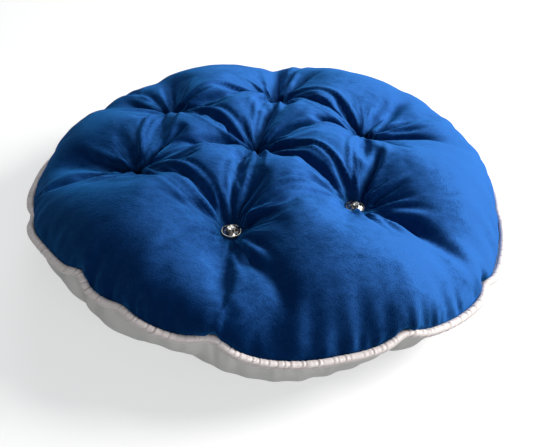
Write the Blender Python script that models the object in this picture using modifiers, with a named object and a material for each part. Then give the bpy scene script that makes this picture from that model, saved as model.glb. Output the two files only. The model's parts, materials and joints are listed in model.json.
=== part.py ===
"""Round tufted seat cushion: two sewn covers, a piped seam, a fibre filling, and seven tufts.

Each tuft is a faceted crystal in a metal setting on top, a flat two-hole button underneath, and one
loop of waxed twine that runs through both and draws the filling together.

Units are metres, +Z is up, and the origin is on the floor under the middle of the cushion.
The solids are taken apart as they would be on a bench, with a small gap wherever two of them touch.
"""

import math

import bmesh
import bpy
from mathutils import Matrix, Vector
from mathutils.geometry import delaunay_2d_cdt

MM = 0.001
GAP = 0.3 * MM  # between two pieces that touch

# The cushion's outer form
SEAM_RADIUS = 265.5 * MM  # where the two covers meet the piping
SEAM_HEIGHT = 61 * MM
CROWN_HEIGHT = 69 * MM  # from the seam up to the crown
FLAT_RADIUS = 190 * MM  # the underside is flat out to here, between its tufts
CROWN_FULLNESS = (4.0, 0.45)  # exponents of the crown's outline: higher and lower are fuller
UNDERSIDE_FULLNESS = (2.2, 0.55)

# Covers
VELVET_THICKNESS = 1.0 * MM
BACKING_THICKNESS = 0.8 * MM
SEAM_ALLOWANCE = 10 * MM
THREAD_DIAMETER = 0.5 * MM
STITCH_INSET = 3.5 * MM  # the row of stitches lies this far inside the covers' edge

# Piping: a bias strip folded round a cord, its two leaves sewn between the covers
PIPING_DIAMETER = 7.5 * MM
PIPING_RADIUS = SEAM_RADIUS + PIPING_DIAMETER / 2 + 0.75 * MM
STRIP_THICKNESS = 0.6 * MM
LEAF_GAP = GAP
LEAF_LENGTH = 8 * MM
CORD_DIAMETER = PIPING_DIAMETER - 2 * STRIP_THICKNESS - 2.3 * GAP

# Tufts: one in the middle and six round it
TUFT_COUNT = 6
TUFT_RING_RADIUS = 136 * MM
TUFT_RING_TURN = math.radians(22)
TUFT_CENTRE_X = -16 * MM  # the pattern sits a little off the middle
TOP_SEAT_HEIGHT = 88 * MM
BASE_SEAT_HEIGHT = 18 * MM
SEAT_RADIUS = 11 * MM  # the cover lies flat under a button out to here
TOP_PULL_RADIUS = 82 * MM  # how far from a tuft the crown is drawn down
BASE_PULL_RADIUS = 50 * MM
COVER_HOLE_RADIUS = 2.8 * MM
CHANNEL_RADIUS = 3.1 * MM  # the way for the twine through the filling

# Tufting buttons, their settings and the twine
SETTING_RADIUS = 10 * MM
SETTING_HEIGHT = 3.0 * MM
SETTING_WALL = 0.8 * MM
SHANK_WIRE_RADIUS = 0.5 * MM
SHANK_EYE_RADIUS = 1.7 * MM  # to the middle of the wire
CRYSTAL_RADIUS = SETTING_RADIUS - SETTING_WALL - GAP
CRYSTAL_HEIGHT = 5.6 * MM
TWINE_RADIUS = 0.55 * MM
TWINE_SPREAD = 1.6 * MM  # half the distance between the twine's two strands
BACK_BUTTON_RADIUS = 7.5 * MM
BACK_BUTTON_THICKNESS = 2.4 * MM
BUTTON_HOLE_RADIUS = 1.0 * MM

# How finely the shapes are divided
RIM_SEGMENTS = 44
TUFT_RINGS = ((COVER_HOLE_RADIUS, 8), (SEAT_RADIUS, 10), (24 * MM, 14), (40 * MM, 16))
RIM_RINGS = (SEAM_RADIUS, 262 * MM, 252 * MM, 234 * MM, 210 * MM)
LATTICE_PITCH = 22 * MM
LATTICE_CLEARANCE = 10 * MM  # kept free between the lattice and the rings
BUTTON_SEGMENTS = 16

# The filling stands back from the covers, more at the rim, where they are steep
FILLING_DROP = 3.0 * MM
FILLING_INSET = 3.5 * MM
FILLING_INSET_FROM = 190 * MM
GROOVE_HALF_HEIGHT = 3.2 * MM
GROOVE_DEPTH = SEAM_ALLOWANCE + 1.5 * MM

MATERIALS = {
    "blue_velvet": ((0.012, 0.075, 0.33), 0.85, 0.0),
    "pale_satin": ((0.74, 0.73, 0.70), 0.55, 0.0),
    "piping_satin": ((0.78, 0.74, 0.72), 0.5, 0.0),
    "cotton_cord": ((0.82, 0.80, 0.74), 0.95, 0.0),
    "fibre_filling": ((0.90, 0.90, 0.88), 1.0, 0.0),
    "sewing_thread": ((0.10, 0.16, 0.36), 0.7, 0.0),
    "crystal_glass": ((0.80, 0.80, 0.78), 0.05, 0.0),
    "silver_metal": ((0.62, 0.60, 0.56), 0.25, 1.0),
    "waxed_twine": ((0.72, 0.68, 0.60), 0.8, 0.0),
    "white_plastic": ((0.85, 0.84, 0.80), 0.35, 0.0),
}


# ---------------------------------------------------------------- scene, materials and objects


def clear_scene():
    for obj in list(bpy.data.objects):
        bpy.data.objects.remove(obj, do_unlink=True)


def new_collection(name):
    collection = bpy.data.collections.new(name)
    bpy.context.scene.collection.children.link(collection)
    return collection


def material(name):
    """The named material, made from MATERIALS the first time it is asked for."""
    if name in bpy.data.materials:
        return bpy.data.materials[name]
    colour, roughness, metallic = MATERIALS[name]
    made = bpy.data.materials.new(name)
    made.use_nodes = True
    shader = made.node_tree.nodes["Principled BSDF"]
    shader.inputs["Base Color"].default_value = (*colour, 1.0)
    shader.inputs["Roughness"].default_value = roughness
    shader.inputs["Metallic"].default_value = metallic
    return made


def place(name, data, material_name, collection, location=(0, 0, 0)):
    """A new object in a collection, with its material."""
    obj = bpy.data.objects.new(name, data)
    collection.objects.link(obj)
    obj.location = location
    if not data.materials:
        data.materials.append(material(material_name))
    return obj


def baked(obj, name):
    """A mesh of the object with its modifiers applied. The object is removed."""
    bpy.context.view_layer.update()
    graph = bpy.context.evaluated_depsgraph_get()
    mesh = bpy.data.meshes.new_from_object(obj.evaluated_get(graph))
    mesh.name = name
    mesh.shade_smooth()
    mesh.set_sharp_from_angle(angle=math.radians(35))
    bpy.data.objects.remove(obj, do_unlink=True)
    return mesh


def hide_cutter(obj):
    obj.hide_render = True
    obj.display_type = "WIRE"


def cut(obj, cutter, operation="DIFFERENCE"):
    boolean = obj.modifiers.new(cutter.name, "BOOLEAN")
    boolean.operation = operation
    boolean.object = cutter


# ---------------------------------------------------------------- the cushion's outer form


def eased(low, high, value):
    """0 up to low, 1 from high, and a smooth rise between them."""
    share = min(max((value - low) / (high - low), 0.0), 1.0)
    return share * share * (3 - 2 * share)


def tuft_centres():
    """The tufts' places in plan: the middle one, then the six round it."""
    centres = [Vector((TUFT_CENTRE_X, 0.0))]
    for number in range(TUFT_COUNT):
        angle = TUFT_RING_TURN + number * math.tau / TUFT_COUNT
        turned_arm = Vector((math.cos(angle), math.sin(angle))) * TUFT_RING_RADIUS
        centres.append(centres[0] + turned_arm)
    return centres


def fullness(point, reach):
    """0 on a tuft's seat, 1 beyond every tuft's reach."""
    full = 1.0
    for centre in tuft_centres():
        full *= eased(SEAT_RADIUS, reach, (point - centre).length)
    return full


def crown_height(point):
    """Height of the top cover's outside over a point in plan."""
    power, root = CROWN_FULLNESS
    share = min(point.length / SEAM_RADIUS, 1.0)
    edge = SEAM_HEIGHT + STRIP_THICKNESS + LEAF_GAP / 2 + GAP
    untied = edge + CROWN_HEIGHT * (1 - share**power) ** root
    return TOP_SEAT_HEIGHT + (untied - TOP_SEAT_HEIGHT) * fullness(point, TOP_PULL_RADIUS)


def base_height(point):
    """Height of the bottom cover's outside over a point in plan."""
    power, root = UNDERSIDE_FULLNESS
    edge = SEAM_HEIGHT - STRIP_THICKNESS - LEAF_GAP / 2 - GAP
    share = (point.length - FLAT_RADIUS) / (SEAM_RADIUS - FLAT_RADIUS)
    share = min(max(share, 0.0), 1.0)
    untied = edge * (1 - (1 - share**power) ** root)
    return BASE_SEAT_HEIGHT + (untied - BASE_SEAT_HEIGHT) * fullness(point, BASE_PULL_RADIUS)


# ---------------------------------------------------------------- the plan that covers and filling share


def ring(centre, radius, count, turn=0.0):
    """Points evenly round a circle in plan."""
    angles = [math.tau * (number + turn) / count for number in range(count)]
    return [centre + Vector((math.cos(a), math.sin(a))) * radius for a in angles]


def lattice():
    """Points of a triangular lattice that stay clear of the tufts' rings and the rim's."""
    reach = RIM_RINGS[-1] - LATTICE_CLEARANCE
    keep_off = TUFT_RINGS[-1][0] + LATTICE_CLEARANCE
    row_pitch = LATTICE_PITCH * math.sqrt(3) / 2
    rows = int(reach / row_pitch)
    columns = int(reach / LATTICE_PITCH) + 1
    found = []
    for row in range(-rows, rows + 1):
        for column in range(-columns, columns + 1):
            shift = 0.5 if row % 2 else 0.0
            point = Vector(((column + shift) * LATTICE_PITCH, row * row_pitch))
            clear = min((point - centre).length for centre in tuft_centres()) > keep_off
            if clear and point.length < reach:
                found.append(point)
    return found


def plan():
    """A disc in plan as points and triangles, fine at the tufts and the rim, with a hole at each tuft."""
    points = []
    for row, radius in enumerate(RIM_RINGS):
        points += ring(Vector((0.0, 0.0)), radius, RIM_SEGMENTS, turn=(row % 2) / 2)
    for centre in tuft_centres():
        for radius, count in TUFT_RINGS:
            points += [p for p in ring(centre, radius, count) if p.length < RIM_RINGS[-1]]
    points += lattice()
    joined = delaunay_2d_cdt(points, [], [], 0, 1e-7)
    corners, triangles = joined[0], joined[2]

    def in_hole(triangle):
        middle = sum((corners[i] for i in triangle), Vector((0.0, 0.0))) / 3
        return any((middle - c).length < 0.9 * COVER_HOLE_RADIUS for c in tuft_centres())

    return corners, [t for t in triangles if not in_hole(t)]


# ---------------------------------------------------------------- covers and filling


def fold_seam_allowance(bm):
    """Turns the outer edge inwards, level, to make the strip that is sewn to the piping."""
    rim = [
        edge
        for edge in bm.edges
        if edge.is_boundary and min(v.co.xy.length for v in edge.verts) > RIM_RINGS[1]
    ]
    made = bmesh.ops.extrude_edge_only(bm, edges=rim)["geom"]
    shrink = (SEAM_RADIUS - SEAM_ALLOWANCE) / SEAM_RADIUS
    for vertex in (item for item in made if isinstance(item, bmesh.types.BMVert)):
        vertex.co.xy *= shrink


def make_cover(name, height, faces_up, thickness, material_name, collection):
    """A sewn cover: a thin shell over the plan, with its seam allowance folded inside."""
    corners, triangles = plan()
    bm = bmesh.new()
    vertices = [bm.verts.new((*point, height(point))) for point in corners]
    for triangle in triangles:
        order = triangle if faces_up else reversed(triangle)
        bm.faces.new([vertices[i] for i in order])
    fold_seam_allowance(bm)
    mesh = bpy.data.meshes.new(name)
    bm.to_mesh(mesh)
    bm.free()
    mesh.shade_smooth()
    cover = place(name, mesh, material_name, collection)
    wall = cover.modifiers.new("wall", "SOLIDIFY")
    wall.thickness = thickness
    wall.offset = -1
    wall.use_even_offset = True
    return cover


def drawn_in(point):
    """A point of the plan, moved inwards near the rim to leave room for the covers."""
    inset = FILLING_INSET * eased(FILLING_INSET_FROM, SEAM_RADIUS, point.length)
    return point * (1 - inset / point.length) if inset else point


def widened(point):
    """A point of the plan, moved out from a tuft's hole to the channel's wall."""
    for centre in tuft_centres():
        arm = point - centre
        if arm.length < 1.01 * COVER_HOLE_RADIUS:
            return centre + arm * (CHANNEL_RADIUS / COVER_HOLE_RADIUS)
    return point


def make_filling(collection, cutters):
    """The fibre filling: one body with a channel for each tuft's twine and a groove for the seam."""
    corners, triangles = plan()
    bm = bmesh.new()
    vertices = [bm.verts.new((*point, 0.0)) for point in corners]
    base = [bm.faces.new([vertices[i] for i in triangle]) for triangle in triangles]
    raised = bmesh.ops.extrude_face_region(bm, geom=base, use_keep_orig=True)["geom"]
    crown = {item for item in raised if isinstance(item, bmesh.types.BMVert)}
    for vertex in bm.verts:
        point = vertex.co.xy.copy()
        if vertex in crown:
            vertex.co.z = crown_height(point) - FILLING_DROP
        else:
            vertex.co.z = base_height(point) + FILLING_DROP
        vertex.co.xy = widened(drawn_in(point))
    bmesh.ops.recalc_face_normals(bm, faces=bm.faces)
    mesh = bpy.data.meshes.new("filling")
    bm.to_mesh(mesh)
    bm.free()
    mesh.shade_smooth()
    filling = place("filling", mesh, "fibre_filling", collection)
    outer = SEAM_RADIUS + 5 * MM
    inner = SEAM_RADIUS - GROOVE_DEPTH
    low, high = SEAM_HEIGHT - GROOVE_HALF_HEIGHT, SEAM_HEIGHT + GROOVE_HALF_HEIGHT
    section = [(inner, high), (outer, high), (outer, low), (inner, low)]
    groove = turned("seam_groove_cutter", section, RIM_SEGMENTS, cutters, "fibre_filling")
    hide_cutter(groove)
    cut(filling, groove)
    return filling


# ---------------------------------------------------------------- turned pieces


def turned(name, section, segments, collection, material_name, closed=True):
    """A profile of (radius, height) points turned once round the Z axis."""
    count = len(section)
    edges = [(i, (i + 1) % count) for i in range(count if closed else count - 1)]
    mesh = bpy.data.meshes.new(name)
    mesh.from_pydata([(radius, 0.0, height) for radius, height in section], edges, [])
    obj = place(name, mesh, material_name, collection)
    screw = obj.modifiers.new("turn", "SCREW")
    screw.angle = math.tau
    screw.steps = segments
    screw.render_steps = segments
    screw.use_merge_vertices = True
    screw.merge_threshold = 1e-5
    screw.use_smooth_shade = True
    return obj


def arc(centre, radius, start, end, count):
    """Points of (radius, height) along an arc, its angles in degrees."""
    angles = [math.radians(start + (end - start) * i / (count - 1)) for i in range(count)]
    return [(centre[0] + radius * math.cos(a), centre[1] + radius * math.sin(a)) for a in angles]


def make_piping(collection):
    """The bias strip folded round its cord, open where its two leaves part."""
    middle = (PIPING_RADIUS, SEAM_HEIGHT)
    outer, inner = PIPING_DIAMETER / 2, PIPING_DIAMETER / 2 - STRIP_THICKNESS
    leaf_end = SEAM_RADIUS - LEAF_LENGTH
    leaf_in, leaf_out = LEAF_GAP / 2, LEAF_GAP / 2 + STRIP_THICKNESS
    outer_turn = 180 - math.degrees(math.asin(leaf_out / outer))
    inner_turn = 180 - math.degrees(math.asin(leaf_in / inner))
    section = [(leaf_end, SEAM_HEIGHT + leaf_out)]
    section += arc(middle, outer, outer_turn, -outer_turn, 11)
    section += [(leaf_end, SEAM_HEIGHT - leaf_out), (leaf_end, SEAM_HEIGHT - leaf_in)]
    section += arc(middle, inner, -inner_turn, inner_turn, 9)
    section += [(leaf_end, SEAM_HEIGHT + leaf_in)]
    turned("piping_cover", section, RIM_SEGMENTS, collection, "piping_satin")
    core = arc(middle, CORD_DIAMETER / 2, 0, -360, 9)[:-1]
    turned("piping_cord", core, RIM_SEGMENTS, collection, "cotton_cord")


def make_seam_threads(collection):
    """The needle thread and the bobbin thread of the seam, each lying along its own cover's edge."""
    leaves = LEAF_GAP / 2 + STRIP_THICKNESS + GAP
    radius = SEAM_RADIUS - STITCH_INSET
    for name, side, cover in (
        ("seam_thread_upper", 1, VELVET_THICKNESS),
        ("seam_thread_lower", -1, BACKING_THICKNESS),
    ):
        height = SEAM_HEIGHT + side * (leaves + cover + GAP + THREAD_DIAMETER / 2)
        section = arc((radius, height), THREAD_DIAMETER / 2, 45, -315, 5)[:-1]
        turned(name, section, RIM_SEGMENTS, collection, "sewing_thread")


# ---------------------------------------------------------------- one tuft's pieces


def crystal_mesh():
    """A domed stone cut in facets: the hull of a small table, a belt of kites and a girdle."""
    eighth = math.tau / 8
    belts = (
        (0.46, 1.00, 8, 0.0),
        (0.80, 0.70, 8, 0.5),
        (1.00, 0.28, 16, 0.25),
        (1.00, 0.14, 16, 0.25),
        (0.90, 0.00, 16, 0.25),
    )
    bm = bmesh.new()
    for reach, level, count, turn in belts:
        for number in range(count):
            angle = math.tau * number / count + turn * eighth
            radius = reach * CRYSTAL_RADIUS
            place_at = (radius * math.cos(angle), radius * math.sin(angle), level * CRYSTAL_HEIGHT)
            bm.verts.new(place_at)
    bmesh.ops.convex_hull(bm, input=bm.verts)
    bmesh.ops.recalc_face_normals(bm, faces=bm.faces)
    mesh = bpy.data.meshes.new("crystal")
    bm.to_mesh(mesh)
    bm.free()
    return mesh


def setting_mesh(workshop):
    """The metal cup that holds a crystal, with the wire shank that the twine passes through."""
    wall, height, radius = SETTING_WALL, SETTING_HEIGHT, SETTING_RADIUS
    section = [
        (0.0, wall),
        (radius - wall, wall),
        (radius - wall, height),
        (radius - 0.3 * wall, height),
        (radius, height - 0.7 * wall),
        (radius, 0.7 * wall),
        (radius - 0.7 * wall, 0.0),
        (0.0, 0.0),
    ]
    cup = turned("cup", section, BUTTON_SEGMENTS, workshop, "silver_metal", closed=False)
    bpy.ops.mesh.primitive_torus_add(
        major_radius=SHANK_EYE_RADIUS,
        minor_radius=SHANK_WIRE_RADIUS,
        major_segments=12,
        minor_segments=5,
        location=(0, 0, -SHANK_EYE_RADIUS + 0.1 * MM),
        rotation=(math.pi / 2, 0, 0),
    )
    shank = bpy.context.object
    cut(cup, shank, "UNION")
    mesh = baked(cup, "crystal_setting")
    bpy.data.objects.remove(shank, do_unlink=True)
    return mesh


def back_button_mesh(workshop):
    """A flat two-hole sewing button, its lower face at height 0."""
    radius, thickness = BACK_BUTTON_RADIUS, BACK_BUTTON_THICKNESS
    edge = 0.25 * thickness
    section = [
        (0.0, thickness),
        (radius - edge, thickness),
        (radius, thickness - edge),
        (radius, edge),
        (radius - edge, 0.0),
        (0.0, 0.0),
    ]
    button = turned("button", section, BUTTON_SEGMENTS, workshop, "white_plastic", closed=False)
    drills = []
    for side in (-1, 1):
        bpy.ops.mesh.primitive_cylinder_add(
            vertices=10,
            radius=BUTTON_HOLE_RADIUS,
            depth=4 * thickness,
            location=(0, side * TWINE_SPREAD, thickness / 2),
        )
        drill = bpy.context.object
        drill.name = f"button_drill_{side}"
        cut(button, drill)
        drills.append(drill)
    mesh = baked(button, "back_button")
    for drill in drills:
        bpy.data.objects.remove(drill, do_unlink=True)
    return mesh


def twine_curve(shank_height, button_height):
    """One closed loop of twine: over the shank's wire, down, and under the back button's bridge."""
    turn_points = 7
    path = []
    for level, start in ((shank_height, 0.0), (button_height, math.pi)):
        for number in range(turn_points):
            angle = start + math.pi * number / (turn_points - 1)
            across = TWINE_SPREAD * math.cos(angle)
            path.append((0.0, across, level + TWINE_SPREAD * math.sin(angle)))
    curve = bpy.data.curves.new("tufting_twine", "CURVE")
    curve.dimensions = "3D"
    curve.bevel_depth = TWINE_RADIUS
    curve.bevel_resolution = 2
    strand = curve.splines.new("POLY")
    strand.points.add(len(path) - 1)
    for point, corner in zip(strand.points, path):
        point.co = (*corner, 1.0)
    strand.use_cyclic_u = True
    return curve


def make_tufts(collection, workshop):
    """Four pieces for each tuft: crystal, setting, twine and back button."""
    setting_height = TOP_SEAT_HEIGHT + GAP
    crystal_height = setting_height + SETTING_WALL + GAP
    button_height = BASE_SEAT_HEIGHT - GAP - BACK_BUTTON_THICKNESS
    shank_wire_height = setting_height - 2 * SHANK_EYE_RADIUS + 0.1 * MM
    crystal = crystal_mesh()
    setting = setting_mesh(workshop)
    button = back_button_mesh(workshop)
    twine = twine_curve(shank_wire_height, button_height)
    for number, centre in enumerate(tuft_centres()):
        x, y = centre
        spot = "centre" if number == 0 else str(number)
        place(f"crystal_{spot}", crystal, "crystal_glass", collection, (x, y, crystal_height))
        place(f"crystal_setting_{spot}", setting, "silver_metal", collection, (x, y, setting_height))
        place(f"tufting_twine_{spot}", twine, "waxed_twine", collection, (x, y, 0))
        place(f"back_button_{spot}", button, "white_plastic", collection, (x, y, button_height))


def main():
    clear_scene()
    cushion = new_collection("seat_cushion")
    cutters = new_collection("cutters")
    make_cover("top_cover", crown_height, True, VELVET_THICKNESS, "blue_velvet", cushion)
    make_cover("bottom_cover", base_height, False, BACKING_THICKNESS, "pale_satin", cushion)
    make_filling(cushion, cutters)
    make_piping(cushion)
    make_seam_threads(cushion)
    make_tufts(cushion, cutters)


main()
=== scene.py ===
import json
import math

import bpy
import numpy as np
from bpy.props import FloatProperty, FloatVectorProperty, IntProperty, PointerProperty
from mathutils import Matrix, Vector

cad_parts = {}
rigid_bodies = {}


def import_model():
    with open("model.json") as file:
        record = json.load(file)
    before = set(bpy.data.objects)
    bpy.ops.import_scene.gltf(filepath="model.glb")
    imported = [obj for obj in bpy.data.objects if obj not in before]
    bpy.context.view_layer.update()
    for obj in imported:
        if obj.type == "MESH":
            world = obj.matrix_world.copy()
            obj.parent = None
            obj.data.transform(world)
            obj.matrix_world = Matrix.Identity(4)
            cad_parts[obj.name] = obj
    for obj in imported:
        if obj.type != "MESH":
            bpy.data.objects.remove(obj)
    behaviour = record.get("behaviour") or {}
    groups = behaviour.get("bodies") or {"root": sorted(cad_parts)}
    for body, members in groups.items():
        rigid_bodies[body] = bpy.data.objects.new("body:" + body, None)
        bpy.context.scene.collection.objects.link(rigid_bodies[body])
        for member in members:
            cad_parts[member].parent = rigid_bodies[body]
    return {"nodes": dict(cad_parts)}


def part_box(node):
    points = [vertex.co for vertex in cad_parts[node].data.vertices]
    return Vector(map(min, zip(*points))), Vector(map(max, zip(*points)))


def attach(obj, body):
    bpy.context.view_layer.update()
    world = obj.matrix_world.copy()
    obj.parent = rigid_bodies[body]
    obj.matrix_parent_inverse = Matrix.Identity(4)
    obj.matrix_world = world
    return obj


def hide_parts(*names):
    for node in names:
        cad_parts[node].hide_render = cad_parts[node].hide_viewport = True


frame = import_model()

bl_info = {
    "name": "Tufted seat cushion",
    "version": (1, 0, 0),
    "blender": (4, 5, 0),
    "location": "3D View > Sidebar > Cushion",
    "description": "Makes a round tufted velvet cushion with crystal buttons and a piped edge",
    "category": "Add Mesh",
}

MM = 0.001
SETTING_FLOOR = 1.4 * MM  # from the velvet under a setting up to its crystal
BUTTON_GAP = 0.3 * MM


def tufts():
    """Each tuft's name, its place in plan, and the heights its two covers are held at."""
    found = []
    for name in sorted(frame["nodes"]):
        if name.startswith("crystal_setting_"):
            spot = name.rsplit("_", 1)[1]
            low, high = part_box(f"crystal_{spot}")
            upper = low.z - SETTING_FLOOR
            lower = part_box(f"back_button_{spot}")[1].z + BUTTON_GAP
            place = np.array([(low.x + high.x) / 2, (low.y + high.y) / 2])
            found.append((spot, place, upper, lower))
    return found


TUFTS = tufts()
PIPING_LOW, PIPING_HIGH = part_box("piping_cover")
SEAM_HEIGHT = (PIPING_LOW.z + PIPING_HIGH.z) / 2
SEAM_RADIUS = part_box("bottom_cover")[1].x
MIDDLE = next(place for spot, place, _, _ in TUFTS if spot == "centre")
NEIGHBOUR_SPAN = 150 * MM  # tufts nearer than this to each other are neighbours
STATE = {}  # what the covers' operator leaves for the piping's: the seam's points


# ---------------------------------------------------------------- sizes and colours


class CushionSizes(bpy.types.PropertyGroup):
    """Sizes of the covers as they are cut, and of the stuffing's push against them"""

    rings: IntProperty(
        name="Rings",
        description="Rings of points in each cover's net",
        default=60,
        min=20,
        max=90,
    )
    cut_ease: FloatProperty(
        name="Cut ease",
        description="How much wider than the finished cushion the covers are cut",
        default=1.10,
        subtype="FACTOR",
    )
    inner_ease: FloatProperty(
        name="Inner ease",
        description="The same between the tufts",
        default=1.21,
        subtype="FACTOR",
    )
    rise_ease: FloatProperty(
        name="Rise ease",
        description="How much taller the covers are cut",
        default=1.12,
        subtype="FACTOR",
    )
    seam_hold: FloatProperty(
        name="Seam hold",
        description="How firmly the seam keeps its course",
        default=0.6,
        min=0,
        max=1,
    )
    crown: FloatProperty(
        name="Crown",
        description="Height of the untied crown over the seam",
        default=0.066,
        unit="LENGTH",
    )
    belly: FloatProperty(
        name="Belly",
        description="Depth of the untied underside below the seam",
        default=0.060,
        unit="LENGTH",
    )
    seat_radius: FloatProperty(
        name="Seat radius",
        description="Velvet held flat under a button",
        default=0.010,
        unit="LENGTH",
    )
    piping_radius: FloatProperty(
        name="Piping radius",
        description="Radius of the covered cord",
        default=0.00375,
        unit="LENGTH",
    )
    pressure: FloatProperty(
        name="Stuffing push",
        description="Push of the stuffing in the cloth solver",
        default=220.0,
    )
    stiffness: FloatProperty(
        name="Fold stiffness",
        description="How much the velvet resists folding",
        default=16.0,
    )


class CushionColours(bpy.types.PropertyGroup):
    """Colours of the cushion's materials"""

    # The velvet colour and the next one are the two ends of the painted light on the velvet: the velvet
    # colour where painted shade lies, on slopes turned from the painted light and in the pits; the next
    # one where painted light falls full.
    velvet: FloatVectorProperty(
        name="Velvet", subtype="COLOR", size=3, default=(0.0003, 0.015, 0.070), min=0, max=1,
        description="The velvet's ground, seen between the tips of its pile",
    )
    nap: FloatVectorProperty(
        name="Nap", subtype="COLOR", size=3, default=(0.027, 0.128, 0.430), min=0, max=1,
        description="The velvet where its pile is brushed towards the light",
    )
    lustre: FloatVectorProperty(
        name="Lustre", subtype="COLOR", size=3, default=(0.04, 0.36, 1.0), min=0, max=1,
        description="The tint of light that grazes the pile",
    )
    underside: FloatVectorProperty(
        name="Underside", subtype="COLOR", size=3, default=(0.72, 0.71, 0.67), min=0, max=1,
        description="The plain cotton of the underside",
    )
    piping: FloatVectorProperty(
        name="Piping", subtype="COLOR", size=3, default=(0.72, 0.65, 0.63), min=0, max=1,
        description="The satin bias strip round the edge",
    )


def sizes():
    return bpy.context.scene.cushion_sizes


def colours():
    return bpy.context.scene.cushion_colours


# ---------------------------------------------------------------- shader formulas


class Wire:
    """A socket that arithmetic works on, so that a pattern reads as a formula."""

    def __init__(self, tree, socket):
        self.tree, self.socket = tree, socket

    def math(self, operation, first, second=0.0):
        node = self.tree.nodes.new("ShaderNodeMath")
        node.operation = operation
        for socket, value in zip(node.inputs, (first, second)):
            plug(self.tree, socket, value)
        return Wire(self.tree, node.outputs[0])

    def __add__(self, other):
        return self.math("ADD", self, other)

    __radd__ = __add__

    def __mul__(self, other):
        return self.math("MULTIPLY", self, other)

    __rmul__ = __mul__

    def __sub__(self, other):
        return self.math("SUBTRACT", self, other)

    def __rsub__(self, other):
        return self.math("SUBTRACT", other, self)


def plug(tree, socket, value):
    """Links a wire to a socket, or sets the socket to a plain value."""
    if isinstance(value, Wire):
        tree.links.new(value.socket, socket)
    elif isinstance(value, (tuple, list)) and len(value) == 3 and len(socket.default_value) == 4:
        socket.default_value = (*value, 1.0)
    else:
        socket.default_value = value


class Finish:
    """A material in the making, with one Principled shader."""

    def __init__(self, name):
        self.material = bpy.data.materials.new(name)
        self.material.use_nodes = True
        self.tree = self.material.node_tree
        self.shader = self.tree.nodes["Principled BSDF"]

    def node(self, kind, settings=None, values=None, output=0):
        """A node of this kind as a wire: its settings first, then the values or links of its sockets."""
        node = self.tree.nodes.new(kind)
        for name, value in (settings or {}).items():
            if name == "stops":
                ramp = node.color_ramp
                while len(ramp.elements) > 1:
                    ramp.elements.remove(ramp.elements[0])
                ramp.elements[0].position = value[0][0]
                ramp.elements[0].color = value[0][1]
                for position, colour in value[1:]:
                    ramp.elements.new(position).color = colour
            else:
                setattr(node, name, value)
        for name, value in (values or {}).items():
            plug(self.tree, node.inputs[name], value)
        return Wire(self.tree, node.outputs[output])

    def set(self, **values):
        """Sets or links the shader's sockets, named with _ for a space."""
        for name, value in values.items():
            plug(self.tree, self.shader.inputs[name.replace("_", " ")], value)
        return self.material

    def place(self, name="Object"):
        return self.node("ShaderNodeTexCoord", output=name)

    def scaled(self, vector, scale, turn=0.0):
        return self.node(
            "ShaderNodeMapping", values={"Vector": vector, "Scale": scale, "Rotation": (0, 0, turn)}
        )

    def noise(self, vector, size, detail=2.0, roughness=0.5, distortion=0.0):
        """Cloudy noise from 0 to 1 whose blotches are about this size in metres."""
        values = {
            "Vector": vector,
            "Scale": 1 / size,
            "Detail": detail,
            "Roughness": roughness,
            "Distortion": distortion,
        }
        return self.node("ShaderNodeTexNoise", values=values)

    def mix(self, share, first, second):
        """From the first colour at share 0 to the second at share 1."""
        node = self.tree.nodes.new("ShaderNodeMix")
        node.data_type = "RGBA"
        node.clamp_factor = True
        plug(self.tree, node.inputs[0], share)
        plug(self.tree, node.inputs[6], first)
        plug(self.tree, node.inputs[7], second)
        return Wire(self.tree, node.outputs[2])

    def ramp(self, value, low, high):
        """0 where the value is at or under low, 1 at or over high, smooth between."""
        values = {"Value": value, "From Min": low, "From Max": high}
        settings = {"interpolation_type": "SMOOTHSTEP"}
        return self.node("ShaderNodeMapRange", settings, values)

    def bump(self, height, depth):
        """A normal tilted by a height pattern whose peaks stand this many metres proud."""
        return self.node("ShaderNodeBump", values={"Height": height, "Distance": depth, "Strength": 1.0})


def velvet_finish():
    """Velvet: swept patches, small crush marks and the grain of the pile over a deep ground, with painted
    light and painted shade mixed into its colour.
    """
    tone = colours()
    f = Finish("royal_blue_velvet")
    at = f.place()
    patches = f.noise(at, 0.045, 3.0, 0.55, 0.6)
    crush = f.noise(f.scaled(at, (1.0, 1.6, 1.0), 0.6), 0.010, 3.0, 0.6, 0.4)
    grain = f.noise(at, 0.0016, 3.0, 0.75)
    # The attribute read here is painted light and painted shade, and the base colour runs from the shade
    # colour to the lit one, with random clouds of tone mixed in.
    painted_light_share = f.node("ShaderNodeAttribute", {"attribute_name": "nap"}, output="Fac")
    cloud = patches * 0.35 + crush * 0.3 + grain * 0.35 - 0.5
    base = f.mix(painted_light_share * (1 + cloud * 3.0) + cloud * 0.75, tuple(tone.velvet), tuple(tone.nap))
    round_tuft = f.node("ShaderNodeAttribute", {"attribute_name": "fan"}, output="Vector")
    streaks = f.noise(round_tuft, 0.36, 2.0, 0.5)
    shown = f.node("ShaderNodeAttribute", {"attribute_name": "fan_strength"}, output="Fac")
    height = grain * 0.075 + crush * 0.045 + streaks * shown
    return f.set(
        Base_Color=base,
        Roughness=0.95,
        Normal=f.bump(height, 0.0130),
        Sheen_Weight=0.55,
        Sheen_Roughness=0.38,
        Sheen_Tint=tuple(tone.lustre),
        Specular_IOR_Level=0.03,
    )


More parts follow.
